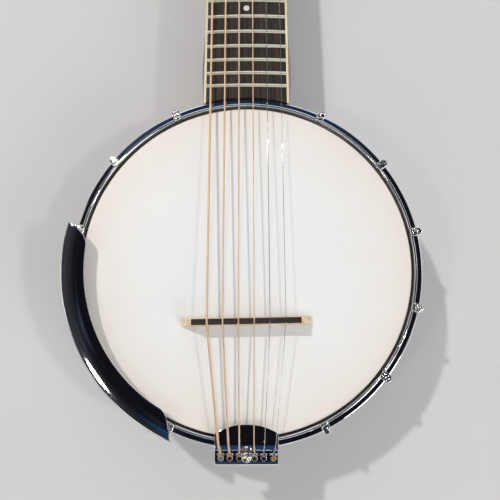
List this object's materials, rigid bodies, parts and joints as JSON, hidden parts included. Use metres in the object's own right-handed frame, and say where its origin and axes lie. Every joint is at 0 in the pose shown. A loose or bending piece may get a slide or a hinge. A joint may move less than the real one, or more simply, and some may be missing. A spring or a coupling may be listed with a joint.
{
  "type": "banjo",
  "caption": "Small guitar-strung open-back banjo with a round skin head, bracketed hoop, armrest, fretted neck and geared tuners.",
  "frame": {"origin": "centre of the bounding box in X and Y, at the back edge of the rim, on which the banjo lies", "axes": "+Z out of the drum head, +Y along the neck to the peghead, bass strings on the -X side"},
  "size_m": [0.2216, 0.6814, 0.076],
  "materials": {
    "rim_wood": "stained mahogany, gloss lacquer",
    "neck_wood": "dark stained mahogany, gloss lacquer",
    "ebony": "oiled, satin, fine open grain",
    "maple": "sanded bare wood",
    "head_film": "smooth white film",
    "chrome": "bright nickel and chrome plate",
    "steel": "zinc-plated steel",
    "brass": "turned brass",
    "gear_brass": "cut brass",
    "fret_wire": "polished nickel silver",
    "bronze": "bronze-wound steel",
    "plain_string": "bright drawn steel",
    "binding": "cream celluloid",
    "pearl": "pearl inlay",
    "bone": "polished bone",
    "black_lacquer": "gloss black lacquer"
  },
  "bodies": {
    "banjo": {"rim": "rim_wood", "tone_ring": "brass", "ball_ends": "brass", "head": "head_film", "head_collar": "head_film", "flesh_hoop": "chrome", "tension_hoop": "chrome", "bracket_hooks": "chrome", "bracket_nuts": "chrome", "bracket_shoes": "chrome", "shoe_screws": "chrome", "curved_washers": "chrome", "rod_nuts": "chrome", "end_bolt": "chrome", "armrest_plate": "chrome", "armrest_brackets": "chrome", "tailpiece_plate": "chrome", "tailpiece_hanger": "chrome", "tuner_housings": "chrome", "tuner_bushings": "chrome", "peghead_screws": "chrome", "coordinator_rod": "steel", "neck_studs": "steel", "truss_rod": "steel", "neck": "neck_wood", "bridge": "maple", "bridge_cap": "ebony", "fretboard": "ebony", "fretboard_binding": "binding", "frets": "fret_wire", "position_dots": "pearl", "nut": "bone", "peghead_overlay": "black_lacquer", "truss_rod_cover": "black_lacquer", "string_1": "bronze", "string_2": "bronze", "string_3": "bronze", "string_4": "bronze", "string_5": "plain_string", "string_6": "plain_string"},
    "truss_rod_nut": {"truss_rod_nut": "steel"},
    "tension_screw": {"tension_screw": "chrome"},
    "tuner_1_key": {"tuner_1_key": "chrome"},
    "tuner_1_post": {"tuner_1_post": "chrome", "tuner_1_gear": "gear_brass"},
    "tuner_2_key": {"tuner_2_key": "chrome"},
    "tuner_2_post": {"tuner_2_post": "chrome", "tuner_2_gear": "gear_brass"},
    "tuner_3_key": {"tuner_3_key": "chrome"},
    "tuner_3_post": {"tuner_3_post": "chrome", "tuner_3_gear": "gear_brass"},
    "tuner_4_key": {"tuner_4_key": "chrome"},
    "tuner_4_post": {"tuner_4_post": "chrome", "tuner_4_gear": "gear_brass"},
    "tuner_5_key": {"tuner_5_key": "chrome"},
    "tuner_5_post": {"tuner_5_post": "chrome", "tuner_5_gear": "gear_brass"},
    "tuner_6_key": {"tuner_6_key": "chrome"},
    "tuner_6_post": {"tuner_6_post": "chrome", "tuner_6_gear": "gear_brass"}
  },
  "joints": [
    {"name": "tuner_1_key_turn", "type": "hinge", "parent": "banjo", "child": "tuner_1_key", "pos_m": [-0.03351, 0.24121, 0.02282], "axis": [-1, 0, 0], "continuous": true},
    {"name": "tuner_1_post_turn", "type": "hinge", "parent": "banjo", "child": "tuner_1_post", "pos_m": [-0.01901, 0.23593, 0.02857], "axis": [0, 0.1961, 0.9806], "continuous": true},
    {"name": "tuner_2_key_turn", "type": "hinge", "parent": "banjo", "child": "tuner_2_key", "pos_m": [-0.03351, 0.27454, 0.01616], "axis": [-1, 0, 0], "continuous": true},
    {"name": "tuner_2_post_turn", "type": "hinge", "parent": "banjo", "child": "tuner_2_post", "pos_m": [-0.01901, 0.26927, 0.0219], "axis": [0, 0.1961, 0.9806], "continuous": true},
    {"name": "tuner_3_key_turn", "type": "hinge", "parent": "banjo", "child": "tuner_3_key", "pos_m": [-0.03351, 0.30789, 0.00949], "axis": [-1, 0, 0], "continuous": true},
    {"name": "tuner_3_post_turn", "type": "hinge", "parent": "banjo", "child": "tuner_3_post", "pos_m": [-0.01901, 0.30261, 0.01523], "axis": [0, 0.1961, 0.9806], "continuous": true},
    {"name": "tuner_4_key_turn", "type": "hinge", "parent": "banjo", "child": "tuner_4_key", "pos_m": [0.03549, 0.30789, 0.00949], "axis": [1, 0, 0], "continuous": true},
    {"name": "tuner_4_post_turn", "type": "hinge", "parent": "banjo", "child": "tuner_4_post", "pos_m": [0.02099, 0.30261, 0.01523], "axis": [0, 0.1961, 0.9806], "continuous": true},
    {"name": "tuner_5_key_turn", "type": "hinge", "parent": "banjo", "child": "tuner_5_key", "pos_m": [0.03549, 0.27454, 0.01616], "axis": [1, 0, 0], "continuous": true},
    {"name": "tuner_5_post_turn", "type": "hinge", "parent": "banjo", "child": "tuner_5_post", "pos_m": [0.02099, 0.26927, 0.0219], "axis": [0, 0.1961, 0.9806], "continuous": true},
    {"name": "tuner_6_key_turn", "type": "hinge", "parent": "banjo", "child": "tuner_6_key", "pos_m": [0.03549, 0.24121, 0.02282], "axis": [1, 0, 0], "continuous": true},
    {"name": "tuner_6_post_turn", "type": "hinge", "parent": "banjo", "child": "tuner_6_post", "pos_m": [0.02099, 0.23593, 0.02857], "axis": [0, 0.1961, 0.9806], "continuous": true},
    {"name": "truss_rod_nut_turn", "type": "hinge", "parent": "banjo", "child": "truss_rod_nut", "pos_m": [0.00099, 0.21616, 0.04138], "axis": [0, 0.9992, -0.0403], "range_deg": [-180, 180]},
    {"name": "tension_screw_turn", "type": "hinge", "parent": "banjo", "child": "tension_screw", "pos_m": [0.00099, -0.33526, 0.066], "axis": [0, 0, 1], "range_deg": [-180, 180]}
  ],
  "couplings": [
    {"joint": "tuner_1_post_turn", "follows": "tuner_1_key_turn", "ratio": 0.0625},
    {"joint": "tuner_2_post_turn", "follows": "tuner_2_key_turn", "ratio": 0.0625},
    {"joint": "tuner_3_post_turn", "follows": "tuner_3_key_turn", "ratio": 0.0625},
    {"joint": "tuner_4_post_turn", "follows": "tuner_4_key_turn", "ratio": 0.0625},
    {"joint": "tuner_5_post_turn", "follows": "tuner_5_key_turn", "ratio": 0.0625},
    {"joint": "tuner_6_post_turn", "follows": "tuner_6_key_turn", "ratio": 0.0625}
  ]
}
